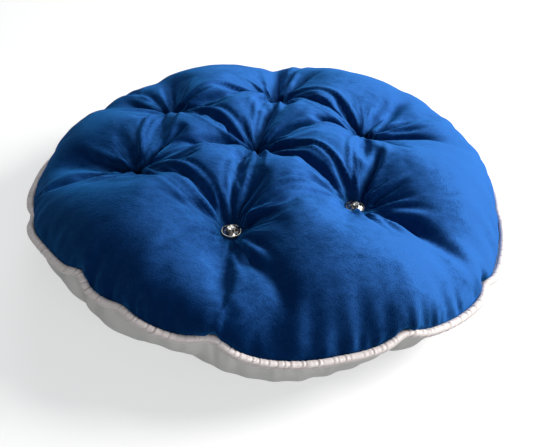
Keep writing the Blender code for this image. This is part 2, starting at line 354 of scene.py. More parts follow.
def cotton_finish():
    """Plain cotton: a fine over-and-under weave, faint slubs and a little mottling."""
    tone = colours().underside
    f = Finish("plain_cotton")
    at = f.place("UV")
    warp = f.node("ShaderNodeTexWave", {"bands_direction": "X"}, {"Vector": at, "Scale": 420.0})
    weft = f.node("ShaderNodeTexWave", {"bands_direction": "Y"}, {"Vector": at, "Scale": 420.0})
    slubs = f.noise(f.scaled(at, (1.0, 14.0, 1.0)), 0.012, 2.0)
    clouds = f.noise(f.place(), 0.05, 3.0)
    weave = warp * weft
    share = f.ramp(clouds * 0.55 + slubs * 0.3 + weave * 0.15, 0.3, 0.75)
    shade = tuple(0.86 * c for c in tone)
    height = weave * 0.6 + slubs * 0.4
    return f.set(
        Base_Color=f.mix(share, shade, tuple(tone)),
        Roughness=0.9,
        Normal=f.bump(height, 0.0003),
        Sheen_Weight=0.25,
        Sheen_Roughness=0.5,
        Specular_IOR_Level=0.2,
    )


def satin_finish():
    """Satin cut on the bias: slanting twill lines, with painted shade in the fold of each pleat."""
    tone = colours().piping
    f = Finish("bias_satin")
    uv = f.place("UV")
    twill = f.node(
        "ShaderNodeTexWave",
        {"bands_direction": "X"},
        {"Vector": f.scaled(uv, (1.0, 1.0, 1.0), math.radians(45)), "Scale": 520.0},
    )
    # The fold attribute is painted shade: it falls in each gather's furrow, where the satin is shaded.
    fold = f.node("ShaderNodeAttribute", {"attribute_name": "fold"}, output="Fac")
    clouds = f.noise(f.place(), 0.012, 2.0)
    pleat_painted_shade = tuple(c * k for c, k in zip(tone, (0.42, 0.36, 0.35)))
    share = f.ramp(fold * 0.75 + clouds * 0.25, 0.08, 0.55)
    return f.set(
        Base_Color=f.mix(share, pleat_painted_shade, tuple(tone)),
        Roughness=0.42,
        Normal=f.bump(twill, 0.0001),
        Sheen_Weight=0.3,
        Sheen_Roughness=0.4,
    )


def crystal_finish():
    """Foil-backed cut glass under a clear polish, with light and deep patches painted at random into its
    colour as painted reflections of its facets.
    """
    f = Finish("foiled_crystal")
    at = f.place()
    # Painted reflections: cells painted light or near black at random stand in for the bright and unlit
    # reflections of the facets.
    facet_reflection_cells = f.node("ShaderNodeTexVoronoi", {"feature": "F1"}, {"Vector": at, "Scale": 420.0}, "Color")
    value = f.node("ShaderNodeSeparateColor", values={"Color": facet_reflection_cells}, output="Red")
    base = f.mix(f.ramp(value, 0.35, 0.9), (0.02, 0.02, 0.022), (0.50, 0.47, 0.42))
    return f.set(Base_Color=base, Metallic=0.85, Roughness=0.16, Coat_Weight=0.6, Coat_Roughness=0.05)


def metal_finish():
    """Polished silver-coloured metal, a little tarnished."""
    f = Finish("silver_metal")
    tarnish = f.noise(f.place(), 0.003, 3.0)
    base = f.mix(f.ramp(tarnish, 0.35, 0.75), (0.34, 0.32, 0.28), (0.58, 0.56, 0.52))
    return f.set(Base_Color=base, Metallic=1.0, Roughness=tarnish * 0.25 + 0.22)


def shell_finish():
    """Milky button plastic with faint clouds in it."""
    f = Finish("milky_plastic")
    clouds = f.noise(f.place(), 0.006, 3.0)
    base = f.mix(clouds, (0.70, 0.69, 0.65), (0.86, 0.85, 0.82))
    return f.set(Base_Color=base, Roughness=clouds * 0.15 + 0.25, Coat_Weight=0.3)


def twine_finish():
    """Waxed twine: a steep twist of two plies."""
    f = Finish("waxed_twine")
    ply = f.node(
        "ShaderNodeTexWave",
        {"bands_direction": "DIAGONAL"},
        {"Vector": f.place(), "Scale": 300.0, "Distortion": 0.5},
    )
    base = f.mix(ply, (0.46, 0.42, 0.34), (0.78, 0.73, 0.63))
    return f.set(Base_Color=base, Roughness=0.6, Normal=f.bump(ply, 0.0002))


# ---------------------------------------------------------------- nets and meshes


def ring_start(k):
    """The number of ring k's first point: one in the middle, then 6 in ring 1, 12 in ring 2 and so on."""
    return 1 + 3 * k * (k - 1) if k else 0


def round_net(rings):
    """A disc as a net of near-equal triangles: ring k has 6k points, and each of its six sectors k steps.
    Returns each point's ring number and angle, and the triangles, facing up."""
    ring = np.concatenate([[0]] + [np.full(6 * k, k) for k in range(1, rings + 1)])
    step = np.concatenate([[0]] + [np.arange(6 * k) for k in range(1, rings + 1)])
    angle = math.tau * step / np.maximum(6 * ring, 1)
    triangles = []
    for k in range(rings):
        count = 6 * (k + 1)
        sector, along = np.divmod(np.arange(count), k + 1)
        inner = ring_start(k) + (sector * k + along) % max(6 * k, 1)
        outer = ring_start(k + 1) + np.arange(count)
        after = ring_start(k + 1) + (np.arange(count) + 1) % count
        triangles.append(np.stack([inner, outer, after], 1))
        if k:
            keep = along < k
            inner_after = ring_start(k) + (sector * k + along + 1) % (6 * k)
            triangles.append(np.stack([inner, after, inner_after], 1)[keep])
    return ring, angle, np.concatenate(triangles)


def dome_profile(height, power_out, power_up, rings):
    """Even steps along a superellipse from its top to the seam, as radii and heights over the seam."""
    turn = np.linspace(0, math.pi / 2, 4000)
    radius = SEAM_RADIUS * np.sin(turn) ** (2 / power_out)
    rise = height * np.cos(turn) ** (2 / power_up)
    length = np.concatenate([[0], np.cumsum(np.hypot(np.diff(radius), np.diff(rise)))])
    at = np.linspace(0, length[-1], rings + 1)
    return np.interp(at, length, radius), np.interp(at, length, rise)


def new_mesh(name, points, faces, material, uv=None, smooth=True):
    """A mesh object from arrays, at the origin, with its material."""
    mesh = bpy.data.meshes.new(name)
    mesh.from_pydata(np.asarray(points, float).tolist(), [], np.asarray(faces).tolist())
    if uv is not None:
        corner = np.empty(len(mesh.loops), np.int32)
        mesh.loops.foreach_get("vertex_index", corner)
        layer = mesh.uv_layers.new(name="cut")
        layer.data.foreach_set("uv", np.asarray(uv, np.float32)[corner].ravel())
    if smooth:
        mesh.shade_smooth()
    mesh.materials.append(material)
    obj = bpy.data.objects.new(name, mesh)
    bpy.context.scene.collection.objects.link(obj)
    return obj


def grid_faces(rows, columns):
    """Quads of a grid that closes on itself both ways."""
    row, column = np.divmod(np.arange(rows * columns), columns)
    right = row * columns + (column + 1) % columns
    below = (row + 1) % rows * columns + column
    corner = (row + 1) % rows * columns + (column + 1) % columns
    return np.stack([row * columns + column, right, corner, below], 1)


# ---------------------------------------------------------------- the two covers


VELVET_WALL, COTTON_WALL = 1.2 * MM, 0.7 * MM
UNDER_SEAT = 0.9  # a back button's seat, as a share of a setting's
BRACE_SKIPS = (3, 7)  # how many seam points apart the braces that keep the seam round are
SIM_FRAMES, TIE_FRAMES = 38, 20  # the buttons are tied down over the first TIE_FRAMES
# Where creases draw the seam in: (degrees round, how strongly)
SEAM_NIPS = (
    (202, 1.0), (230, 1.3), (242, 0.6), (261, 1.2), (298.5, 1.0), (326, 1.0), (352, 0.7),
    (22, 1.0), (50, 0.8), (82, 1.1), (112, 0.8), (142, 1.2), (172, 0.9),
)
NIP_WIDTH = 2.4  # degrees
NIP_IN, NIP_UP = 7 * MM, 3 * MM
CUSP_REACH, CUSP_DRAW, CUSP_IN, CUSP_UP = 4.5 * MM, 22 * MM, 6 * MM, 5 * MM
OUTER_CREASES = (22, 82, 142, 202, 230, 261, 299)  # degrees round
# How the seam rises and falls round the cushion: (degrees round, height over the floor, how far out)
SEAM_COURSE = (
    (0, 62 * MM, 0 * MM), (20, 70 * MM, 3 * MM), (42, 80 * MM, 7 * MM), (70, 76 * MM, 5 * MM),
    (110, 68 * MM, 0 * MM), (150, 64 * MM, 0 * MM), (185, 61 * MM, 0 * MM), (200, 64 * MM, 0 * MM),
    (212, 80 * MM, 0 * MM), (226, 84 * MM, 1 * MM), (234, 76 * MM, 0 * MM), (257, 74 * MM, 0 * MM),
    (266, 60 * MM, 0 * MM), (278, 52 * MM, 1 * MM), (292, 55 * MM, 0 * MM), (300, 58 * MM, 0 * MM),
    (315, 45 * MM, 4 * MM), (335, 45 * MM, 6 * MM), (350, 55 * MM, 2 * MM),
)
# How gently the velvet slopes to the seam: (degrees round, rise per metre inwards, how fully it applies)
SHOULDER_SLOPES = (
    (0, 3.5, 0.9), (15, 2.2, 1), (35, 1.15, 1), (60, 0.85, 1), (75, 1.0, 0.6), (95, 3, 0),
    (200, 6, 0), (320, 6, 0), (340, 5, 0.6),
)
# How far the underside bulges out under the seam: (degrees round, distance)
BELLY_BULGES = (
    (0, 3 * MM), (90, 5 * MM), (170, 8 * MM), (200, 16 * MM), (245, 16 * MM), (275, 10 * MM),
    (295, 4 * MM), (330, 0 * MM),
)


def eased_step(value, low, high):
    """0 up to low and 1 from high on, with the smooth step 3t^2 - 2t^3 between."""
    share = np.clip((value - low) / (high - low), 0, 1)
    return share * share * (3 - 2 * share)


class Cover:
    """The pair of covers as one closed net: the upper with the seam, then the lower without it."""

    def __init__(self):
        size = sizes()
        rings = size.rings
        ring, angle, triangles = round_net(rings)
        self.seam_start = ring_start(rings)
        self.upper_count = len(ring)
        self.upper_faces = triangles
        below = np.where(triangles < self.seam_start, triangles + self.upper_count, triangles)
        self.lower_faces = below[:, ::-1]
        self.ring = np.concatenate([ring, ring[: self.seam_start]])
        self.angle = np.concatenate([angle, angle[: self.seam_start]])
        self.side = np.ones(len(self.ring))
        self.side[self.upper_count :] = -1
        self.side[self.seam_start : self.upper_count] = 0
        out_up, rise_up = dome_profile(size.crown, 2.6, 2.2, rings)
        out_down, rise_down = dome_profile(size.belly, 3.0, 2.4, rings)
        upper = self.side >= 0
        radius = np.where(upper, out_up[self.ring], out_down[self.ring])
        rise = np.where(upper, rise_up[self.ring], -rise_down[self.ring])
        self.plan = np.stack([radius * np.cos(self.angle), radius * np.sin(self.angle)], 1)
        self.rise = rise
        self.faces = np.concatenate([self.upper_faces, self.lower_faces])

    def seam(self):
        return np.arange(self.seam_start, self.upper_count)

    def held(self):
        """Numbers of the points under each tuft's buttons, and the heights they are held at."""
        numbers, heights = [], []
        for _, place, upper, lower in TUFTS:
            near = np.linalg.norm(self.plan - place, axis=1)
            for side, height in ((1, upper), (-1, lower)):
                reach = sizes().seat_radius * (1 if side > 0 else UNDER_SEAT)
                found = np.flatnonzero((near < reach) & (self.side == side))
                numbers.append(found)
                heights.append(np.full(len(found), height))
        return np.concatenate(numbers), np.concatenate(heights)

    def seam_path(self):
        """The seam's line: the round outline, drawn in and up at each nip."""
        turn = np.degrees(self.angle[self.seam()])
        nip = np.zeros(len(turn))
        for place, strength in SEAM_NIPS:
            away = np.abs((turn - place + 180) % 360 - 180) / NIP_WIDTH
            nip += strength * np.exp(-(away**1.3))
        course = np.array(SEAM_COURSE)
        columns = [np.interp(turn, course[:, 0], column, period=360) for column in course[:, 1:].T]
        height, out = smooth_ring(np.stack(columns, 1), 3.0).T
        radius = SEAM_RADIUS + out - NIP_IN * nip
        turn = np.radians(turn)
        path = np.stack([radius * np.cos(turn), radius * np.sin(turn), height + NIP_UP * nip], 1)
        return path, nip

    def cut(self):
        """The covers before they are tied: a full dome above and below, wider than the cushion."""
        size = sizes()
        way = self.ring / size.rings
        ease = size.inner_ease + (size.cut_ease - size.inner_ease) * eased_step(way, 0.5, 0.9)
        shaped = np.column_stack([self.plan * ease[:, None], SEAM_HEIGHT + self.rise * size.rise_ease])
        unrest = np.random.default_rng(3).normal(0, 0.5 * MM, shaped.shape)
        return shaped + unrest * (self.side != 0)[:, None]


def stuffed_shape(cover):
    """The covers stuffed and tied, from Blender's cloth solver. Over the first half of the run the
    buttons and the seam move from the cut shape to their places, and the stuffing's push does the rest."""
    size = sizes()
    start = cover.cut()
    tied = start.copy()
    held, heights = cover.held()
    tied[held, :2] = cover.plan[held]
    tied[held, 2] = heights
    seam = cover.seam()
    tied[seam], nip = cover.seam_path()
    braces = [(int(a), int(b)) for skip in BRACE_SKIPS for a, b in zip(seam, np.roll(seam, -skip))]
    mesh = bpy.data.meshes.new("covers_at_work")
    mesh.from_pydata(start.tolist(), braces, cover.faces.tolist())
    obj = bpy.data.objects.new("covers_at_work", mesh)
    bpy.context.scene.collection.objects.link(obj)
    obj.shape_key_add(name="cut")
    key = obj.shape_key_add(name="tied")
    key.data.foreach_set("co", tied.ravel())
    pins = obj.vertex_groups.new(name="pins")
    pins.add(held.tolist(), 1.0, "REPLACE")
    pins.add(seam.tolist(), size.seam_hold, "REPLACE")
    pins.add(seam[nip > 0.25].tolist(), 0.95, "REPLACE")
    eased = obj.vertex_groups.new(name="eased")
    for inward, weight in enumerate((1.0, 0.6, 0.3, 0.1)):
        at = np.flatnonzero(cover.ring == size.rings - inward)
        eased.add(at.tolist(), weight, "REPLACE")
    cloth = obj.modifiers.new("cloth", "CLOTH")
    use = cloth.settings
    use.quality = 8
    use.mass = 0.001
    use.air_damping = 1.0
    use.tension_stiffness = use.compression_stiffness = 15.0
    use.shear_stiffness = 5.0
    use.bending_stiffness = size.stiffness
    use.tension_damping = use.compression_damping = use.shear_damping = 5.0
    use.bending_damping = 0.5
    use.use_pressure = True
    use.uniform_pressure_force = size.pressure
    use.vertex_group_mass = "pins"
    use.pin_stiffness = 1.0
    use.vertex_group_shrink = "eased"
    use.shrink_min = 0.0
    use.shrink_max = 1 - 1.01 / size.cut_ease
    use.effector_weights.gravity = 0
    cloth.collision_settings.use_collision = False
    cloth.point_cache.frame_start = 1
    cloth.point_cache.frame_end = SIM_FRAMES + 1
    key.value = 0
    key.keyframe_insert("value", frame=1)
    key.value = 1
    key.keyframe_insert("value", frame=TIE_FRAMES)
    for curve in mesh.shape_keys.animation_data.action.fcurves:
        for point in curve.keyframe_points:
            point.interpolation = "LINEAR"
    scene = bpy.context.scene
    for number in range(1, SIM_FRAMES + 1):
        scene.frame_set(number)
    graph = bpy.context.evaluated_depsgraph_get()
    done = obj.evaluated_get(graph).data
    points = np.empty(len(done.vertices) * 3)
    done.vertices.foreach_get("co", points)
    action = mesh.shape_keys.animation_data.action
    bpy.data.objects.remove(obj)
    bpy.data.actions.remove(action)
    scene.frame_set(1)
    return points.reshape(-1, 3)


def neighbour_mean(points, edges):
    """The mean of each point's neighbours."""
    count = len(points)
    total = np.zeros_like(points)
    number = np.bincount(edges.ravel(), minlength=count)
    for axis in range(3):
        total[:, axis] = np.bincount(edges[:, 0], points[edges[:, 1], axis], count)
        total[:, axis] += np.bincount(edges[:, 1], points[edges[:, 0], axis], count)
    return total / number[:, None]


def net_edges(cover):
    """Each edge of the net once, as a pair of point numbers."""
    sides = np.concatenate([cover.faces[:, [0, 1]], cover.faces[:, [1, 2]], cover.faces[:, [2, 0]]])
    return np.unique(np.sort(sides, 1), axis=0)


def calmed(points, cover, rounds):
    """The broad outer puffs smoothed between the creases: each point there steps towards its
    neighbours' mean, and the step fades to nothing at the tufts, the seam and the creases' lines."""
    edges = net_edges(cover)
    way = cover.ring / sizes().rings
    share = eased_step(way, 0.60, 0.72) * (1 - eased_step(way, 0.90, 0.99))
    turn = np.degrees(cover.angle)
    for place in OUTER_CREASES:
        away = np.abs((turn - place + 180) % 360 - 180)
        share *= eased_step(away, 1.0, 8.0)
    for _ in range(rounds):
        points = points + 0.5 * share[:, None] * (neighbour_mean(points, edges) - points)
    return points


def relaxed(points, cover, rounds):
    """Taubin smoothing: a step towards the neighbours' mean, then a slightly longer one back, so that
    small crinkles go and the volume stays. Buttons' seats and the seam stay where they are."""
    edges = net_edges(cover)
    free = np.ones((len(points), 1))
    free[cover.held()[0]] = 0
    free[cover.seam()] = 0
    for _ in range(rounds):
        for step in (0.5, -0.52):
            points = points + step * free * (neighbour_mean(points, edges) - points)
    return points


def seam_at(points, cover):
    """The seam's height and radius at each point's angle."""
    seam = points[cover.seam()]
    seam_turn = np.arctan2(seam[:, 1], seam[:, 0])
    order = np.argsort(seam_turn)
    turn = np.arctan2(points[:, 1], points[:, 0])
    found = []
    for values in (seam[:, 2], np.hypot(seam[:, 0], seam[:, 1])):
        found.append(np.interp(turn, seam_turn[order], values[order], period=math.tau))
    return found


def by_angle(points, table):
    """The columns of a table that starts with degrees round, at each point's angle."""
    turn = np.degrees(np.arctan2(points[:, 1], points[:, 0]))
    rows = np.array(table)
    return [np.interp(turn, rows[:, 0], column, period=360) for column in rows[:, 1:].T]


def notched(points, cover):
    """The seam drawn in and up to a cusp at each nip, and the cloth round it drawn along. The pull is
    exp(-|a|/reach) for a the distance across the nip, fading with the distance from the seam."""
    points = points.copy()
    level, edge = seam_at(points, cover)
    turn = np.arctan2(points[:, 1], points[:, 0])
    far = np.hypot(points[:, 0], points[:, 1])
    from_seam = np.hypot(edge - far, points[:, 2] - level)
    for place, strength in SEAM_NIPS:
        across = far * np.sin(turn - math.radians(place))
        same_side = np.cos(turn - math.radians(place)) > 0
        pull = strength * same_side * np.exp(-np.abs(across) / CUSP_REACH) * np.exp(-from_seam / CUSP_DRAW)
        points[:, :2] -= points[:, :2] / np.maximum(far, 1e-6)[:, None] * (CUSP_IN * pull)[:, None]
        points[:, 2] += CUSP_UP * pull
    return points


def bellied(points, cover):
    """The underside pushed out between the seam and the floor: each point moves out by a hump
    4t(1 - t) of its share t of the seam's height, most at the front left, where the stuffing sags."""
    points = points.copy()
    level, _ = seam_at(points, cover)
    share = np.clip(points[:, 2] / level, 0, 1)
    far = np.hypot(points[:, 0], points[:, 1])
    (bulge,) = by_angle(points, BELLY_BULGES)
    push = bulge * 4 * share * (1 - share) * (cover.side < 0) * eased_step(far, 0.17, 0.23)
    points[:, :2] *= (1 + push / np.maximum(far, 1e-6))[:, None]
    return points


def soft_min(first, second, soft):
    """The lesser of the two, with the corner between them rounded over about soft."""
    return 0.5 * (first + second - np.hypot(first - second, soft))


def leaned(points, cover):
    """The shoulder brought down at the back right, where the cushion slopes to its seam more gently:
    height stays under a line that rises inwards from the seam, and no cloth hangs out past the seam."""
    points = points.copy()
    level, edge = seam_at(points, cover)
    slope, share = by_angle(points, SHOULDER_SLOPES)
    share = share * (cover.side > 0)
    far = np.hypot(points[:, 0], points[:, 1])
    near = soft_min(far, edge + 1 * MM, 3 * MM)
    under = soft_min(points[:, 2], level + slope * np.maximum(edge - near, 0) + 3 * MM, 6 * MM)
    points[:, :2] *= (1 + share * (near / np.maximum(far, 1e-6) - 1))[:, None]
    points[:, 2] += share * (under - points[:, 2])
    return points


def stood(points):
    """The shape pressed flat against the floor: height becomes half of z + sqrt(z^2 + soft^2)."""
    soft = 1.5 * MM
    points = points.copy()
    points[:, 2] = 0.5 * (points[:, 2] + np.hypot(points[:, 2], soft))
    return points


def smooth_ring(values, width):
    """Values round a closed ring, smoothed by a Gaussian this many points wide."""
    count = len(values)
    wave = np.fft.fftfreq(count) * count
    share = np.exp(-0.5 * (math.tau * wave * width / count) ** 2)
    return np.fft.ifft(np.fft.fft(values, axis=0) * share[:, None], axis=0).real


def make_covers():
    """Stuffs the covers, draws their seam, and makes the velvet and the cotton pieces from them."""
    cover = Cover()
    shaped = stuffed_shape(cover)
    shaped = calmed(relaxed(shaped, cover, 2), cover, 12)
    shaped = leaned(notched(shaped, cover), cover)
    shaped = bellied(stood(shaped), cover)
    STATE["seam"] = shaped[cover.seam()] = smooth_ring(shaped[cover.seam()], 1.0)
    flat = cover.ring[:, None] / sizes().rings * SEAM_RADIUS * sizes().cut_ease
    uv = flat * np.stack([np.cos(cover.angle), np.sin(cover.angle)], 1)
    top = new_mesh(
        "velvet_cover", shaped[: cover.upper_count], cover.upper_faces, velvet_finish(), uv
    )
    used = np.unique(cover.lower_faces)
    renumber = np.zeros(len(shaped), np.int64)
    renumber[used] = np.arange(len(used))
    under = new_mesh(
        "underside_cover", shaped[used], renumber[cover.lower_faces], cotton_finish(), uv[used]
    )
    for piece, side, wall, nodes, slot in (
        (top, 1, VELVET_WALL, ("top_cover", "filling"), "velvet"),
        (under, -1, COTTON_WALL, ("bottom_cover",), "underside_fabric"),
    ):
        dressed(piece, side)
        shell = piece.modifiers.new("wall", "SOLIDIFY")
        shell.thickness = wall
        shell.offset = -1
        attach(piece, "root")
        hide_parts(*nodes)


# How far the walls of each pit close over its button
CLOSING = {
    "centre": 15.5 * MM, "1": 11 * MM, "2": 8 * MM, "3": 10 * MM, "4": 14 * MM, "5": 3 * MM, "6": 4 * MM,
}
UNDER_CLOSING = 3 * MM
# Depth of the folds that fan out from a tuft, and of the creases from tuft to tuft: above, below
FAN_DEPTHS = (3.4 * MM, 1.2 * MM)
CREASE_DEPTHS = (3.1 * MM, 1.0 * MM)
CREASE_BOWS = (-17 * MM, -9 * MM, 0 * MM, 8 * MM, 18 * MM)
FAN_TURNS = (-0.75, -0.5, -0.28, -0.1, 0.08, 0.27, 0.5, 0.8)  # radians off straight out
DEEPEST_FOLD, HIGHEST_FOLD = -6.5 * MM, 4.5 * MM
CUT_LENGTH = 320 * MM  # along the cloth from the middle to the seam
# Gathers at the seam: (waves round the edge, how far in they reach, height)
EDGE_WAVES = (
    (57, 55 * MM, 0.6 * MM), (71, 45 * MM, 0.6 * MM), (96, 30 * MM, 0.5 * MM), (131, 20 * MM, 0.5 * MM),
    (173, 14 * MM, 0.4 * MM), (211, 10 * MM, 0.3 * MM),
)
FLOOR_CLEARANCE = 0.02 * MM
PIT_RADIUS, PIT_SHADE = 21 * MM, 0.85  # how wide each pit's painted shade is, and how deep
PAINTED_LIGHT_DIRECTION = np.array([0.80, 0.30, 0.60])  # the painted light comes from here: slopes that face here are painted lit, slopes turned away get painted shade
PAINTED_LIGHT_GRADIENT = np.array([0.90, 0.38])  # how much more painted light falls towards the right and the back


def refined(piece):
    """Swaps the piece's mesh for one Catmull-Clark step of it, where each triangle is three quads."""
    finer = piece.modifiers.new("finer", "SUBSURF")
    finer.levels = finer.render_levels = 1
    graph = bpy.context.evaluated_depsgraph_get()
    mesh = bpy.data.meshes.new_from_object(piece.evaluated_get(graph), depsgraph=graph)
    piece.modifiers.clear()
    old, piece.data = piece.data, mesh
    bpy.data.meshes.remove(old)
    mesh.name = piece.name


def read_points(mesh):
    """The mesh's points, as an array."""
    points = np.empty(len(mesh.vertices) * 3, np.float32)
    mesh.vertices.foreach_get("co", points)
    return points.reshape(-1, 3).astype(float)


def write_points(mesh, points):
    mesh.vertices.foreach_set("co", points.astype(np.float32).ravel())
    mesh.update()


def read_normals(mesh):
    normals = np.empty(len(mesh.vertices) * 3, np.float32)
    mesh.vertex_normals.foreach_get("vector", normals)
    return normals.reshape(-1, 3).astype(float)


def crowded(points, side):
    """The walls of each pit pushed in over its button. A point at distance d from the tuft moves in by
    closing times a hump that rises from d = 9 mm to 20 mm and falls back to nothing at 60 mm, for points
    that stand clear of the seat."""
    points = points.copy()
    for spot, place, upper, lower in TUFTS:
        away = points[:, :2] - place
        far = np.hypot(*away.T)
        hump = eased_step(far, 0.009, 0.020) * (1 - eased_step(far, 0.020, 0.060))
        clear = (points[:, 2] - upper) if side > 0 else (lower - points[:, 2])
        closing = CLOSING[spot] if side > 0 else UNDER_CLOSING
        move = closing * hump * eased_step(clear, 0.001, 0.012)
        points[:, :2] -= away / np.maximum(far, 1e-6)[:, None] * move[:, None]
    return points


def fold_fans(points, side):
    """How far each point is lifted by the fans of small folds at the tufts. Each fold runs straight out
    from its tuft with a slight curl: its section is a narrow furrow exp(-(a/w)^2) with a ridge beside it,
    a the distance across and w the width, and it fades in from the button and out at its length."""
    random = np.random.default_rng(7 if side > 0 else 8)
    deep = FAN_DEPTHS[side < 0]
    lift = np.zeros(len(points))
    for spot, place, _, _ in TUFTS:
        headings = []
        for other, there, _, _ in TUFTS:
            if other != spot and np.linalg.norm(there - place) < NEIGHBOUR_SPAN:
                heading = math.atan2(*(there - place)[::-1])
                headings += [(heading + s, 1.0, 1.0) for s in (-0.36, 0.34)]
        if spot != "centre":
            outward = math.atan2(*(place - MIDDLE)[::-1])
            headings += [(outward + s, 1.3, 2.0) for s in FAN_TURNS]
        away = points[:, :2] - place
        far = np.hypot(*away.T)
        turn = np.arctan2(away[:, 1], away[:, 0])
        for heading, reach, strength in headings:
            heading += random.normal(0, 0.04)
            length = random.uniform(0.035, 0.075) * reach
            depth = strength * random.uniform(0.5, 1.0) * deep
            width = random.uniform(0.0019, 0.0028)
            curl = random.normal(0, 1.3)
            across = far * np.sin(turn - heading) + curl * far**2
            along = far * np.cos(turn - heading)
            flank = random.choice([-1.0, 1.0])
            width = width * (1 + 9 * np.clip(along, 0, 1))
            shown = eased_step(along, 0.009, 0.018) * (1 - eased_step(far, 0.25 * length, length))
            lift += depth * furrow(across, width, flank) * shown
    return lift


def furrow(across, width, flank):
    """A narrow furrow exp(-(a/w)^2) with a lower ridge on one flank, a the distance across it."""
    ridge = 0.9 * np.exp(-(((across - flank * 1.9 * width) / (1.1 * width)) ** 2))
    return ridge - np.exp(-((across / width) ** 2))


def valley_folds(points, side):
    """Long creases from tuft to tuft. Each is an arc between two neighbours that bows to one side by
    4t(1 - t) of its bow, t the share of the way, so the creases of a valley meet at both buttons."""
    random = np.random.default_rng(5 if side > 0 else 6)
    deep = CREASE_DEPTHS[side < 0]
    lift = np.zeros(len(points))
    for index, (_, start, _, _) in enumerate(TUFTS):
        for _, end, _, _ in TUFTS[index + 1 :]:
            span = np.linalg.norm(end - start)
            if span > NEIGHBOUR_SPAN:
                continue
            forth = (end - start) / span
            away = points[:, :2] - start
            along, aside = away @ forth, away @ np.array([-forth[1], forth[0]])
            share = np.clip(along / span, 0, 1)
            ends = eased_step(along, 0.011, 0.023) * eased_step(span - along, 0.011, 0.023)
            for bow in CREASE_BOWS:
                across = aside - (bow + random.normal(0, 0.002)) * 4 * share * (1 - share)
                width = random.uniform(0.0023, 0.0034)
                depth = random.uniform(0.30, 1.0) * deep
                deepest, reach = random.uniform(0.15, 0.85), random.uniform(0.28, 0.5)
                fade = np.exp(-(((share - deepest) / reach) ** 2))
                lift += depth * ends * fade * furrow(across, width, random.choice([-1.0, 1.0]))
    return lift


def edge_gathers(points, way, side):
    """Small gathers at the seam: waves round the edge, each of its own phase, that fade away inwards.
    The way is each point's share of the way out to the seam."""
    random = np.random.default_rng(21 if side > 0 else 22)
    turn = np.arctan2(points[:, 1], points[:, 0])
    inward = (1 - way) * CUT_LENGTH
    lift = np.zeros(len(points))
    for waves, reach, height in EDGE_WAVES:
        phase, strength = random.uniform(0, math.tau), random.uniform(0.7, 1.1)
        beat = 0.5 + 0.5 * np.sin(random.integers(3, 8) * turn + random.uniform(0, math.tau))
        fade = np.exp(-((inward / reach) ** 2)) * eased_step(inward, 0.0, 0.006)
        lift += height * strength * beat * fade * np.sin(waves * turn + phase)
    return lift * (1.0 if side > 0 else 1.3)


def dressed(piece, side):
    """The finer mesh with its pits crowded, and its folds and gathers raised."""
    refined(piece)
    mesh = piece.data
    corner = np.empty(len(mesh.loops), np.int32)
    mesh.loops.foreach_get("vertex_index", corner)
    uv = np.empty(len(mesh.loops) * 2, np.float32)
    mesh.uv_layers[0].data.foreach_get("uv", uv)
    way = np.zeros(len(mesh.vertices))
    way[corner] = np.hypot(*uv.reshape(-1, 2).T) / (SEAM_RADIUS * sizes().cut_ease)
    points = crowded(read_points(mesh), side)
    write_points(mesh, points)
    folds = fold_fans(points, side) + valley_folds(points, side)
    lift = np.clip(folds, DEEPEST_FOLD, HIGHEST_FOLD) + edge_gathers(points, way, side)
    points = points + read_normals(mesh) * lift[:, None]
    write_points(mesh, np.column_stack([points[:, :2], np.maximum(points[:, 2], FLOOR_CLEARANCE)]))
    paint_light_and_fans(mesh, points)
    mesh.shade_smooth()


def paint_light_and_fans(mesh, points):
    """Writes what the velvet's finish reads at each point: the share of painted light, which grows as a
    slope faces the painted light's direction, is stronger towards the right and the back and gives way to
    painted shade in each pit; fan, a place that is even along a line out from the nearest tuft; and
    fan_strength."""
    facing = read_normals(mesh) @ (PAINTED_LIGHT_DIRECTION / np.linalg.norm(PAINTED_LIGHT_DIRECTION))
    away = points[:, None, :2] - np.array([place for _, place, _, _ in TUFTS])
    far = np.linalg.norm(away, axis=2)
    nearest = far.argmin(axis=1)
    away, far = away[np.arange(len(far)), nearest], far.min(axis=1)
    # Painted shade in each pit, and painted light on slopes facing the painted light's direction, stronger
    # towards the right and the back.
    pit = np.exp(-((far / PIT_RADIUS) ** 2))
    share = eased_step(facing, 0.05, 1.0) * (1 - PIT_SHADE * pit)
    share *= 1 + points[:, :2] @ PAINTED_LIGHT_GRADIENT / SEAM_RADIUS
    round_tuft = away / np.maximum(far, 1e-6)[:, None] + nearest[:, None] * 5.0
    fan = np.column_stack([round_tuft, far * 10])
    shown = eased_step(far, 0.009, 0.018) * (1 - eased_step(far, 0.018, 0.064)) ** 0.7
    for name, kind, field, values in (
        ("nap", "FLOAT", "value", share),
        ("fan", "FLOAT_VECTOR", "vector", fan),
        ("fan_strength", "FLOAT", "value", shown),
    ):
        layer = mesh.attributes.new(name, kind, "POINT")
        layer.data.foreach_set(field, values.astype(np.float32).ravel())


# ---------------------------------------------------------------- piping


GATHER_SLANT, GATHER_WAVE = 3.6 * MM, 0.6 * MM  # how far a gather leans and wanders along the piping
GATHER_HEIGHT = 0.75 * MM
PIPING_GAP = 0.2 * MM  # between the seam and the covered cord


